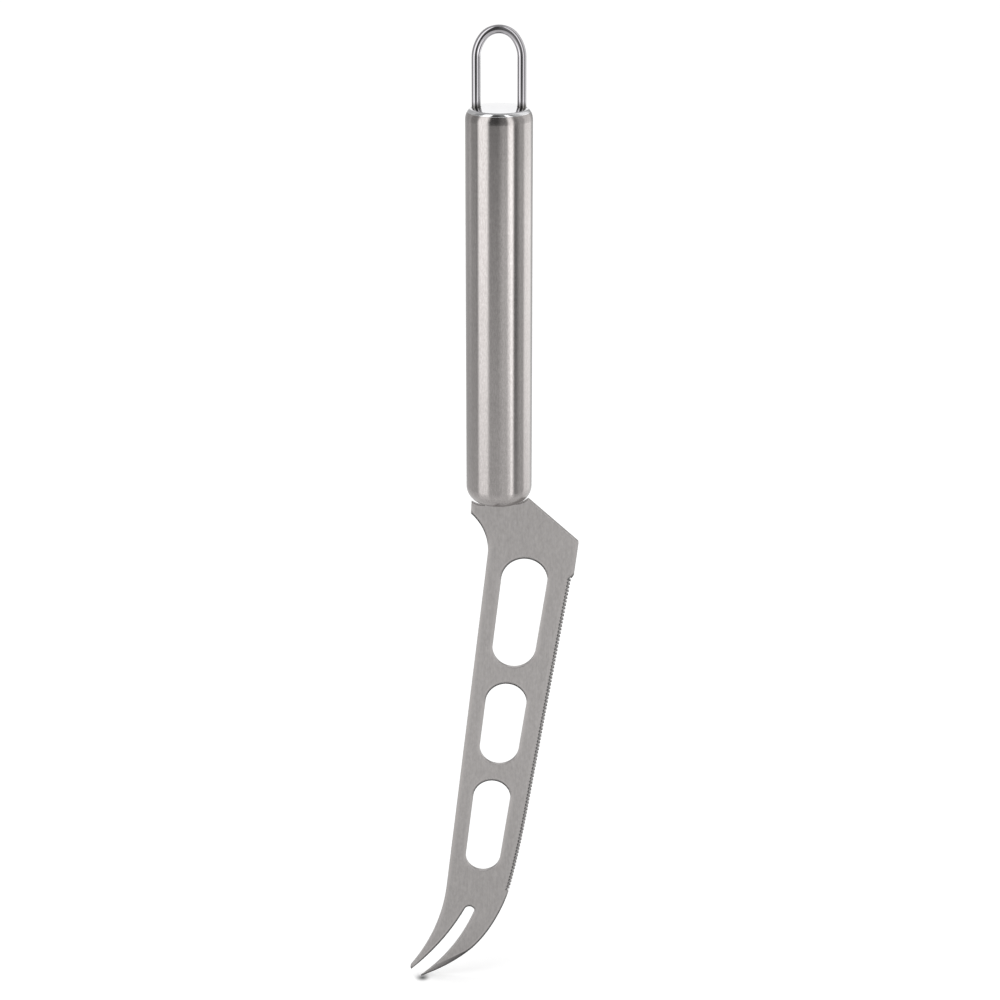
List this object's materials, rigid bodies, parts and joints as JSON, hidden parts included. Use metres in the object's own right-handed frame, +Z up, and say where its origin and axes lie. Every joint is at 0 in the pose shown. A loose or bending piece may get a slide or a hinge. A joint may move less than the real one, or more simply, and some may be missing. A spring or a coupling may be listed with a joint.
{
  "type": "cheese knife",
  "caption": "Cheese knife: pierced offset blade with a fine-toothed edge and a forked tip, on a hollow round steel handle with a wire hanging loop.",
  "frame": {"origin": "inside top of the hanging loop, where a hook bears; the knife hangs below it", "axes": "+Z up along the handle's axis, +X towards the toothed edge, +Y out of the blade's back face; the ground front face looks along -Y"},
  "size_m": [0.0508, 0.019, 0.296],
  "materials": {
    "blade_steel": "matte, brushed along the blade",
    "handle_steel": "satin, brushed",
    "cap_steel": "mirror polished",
    "wire_steel": "polished",
    "weld_steel": "dull, as welded"
  },
  "bodies": {
    "root": {"blade": "blade_steel", "blade_weld": "weld_steel", "handle_tube": "handle_steel", "end_cap": "cap_steel", "hanging_loop": "wire_steel", "loop_weld": "weld_steel"}
  },
  "joints": []
}
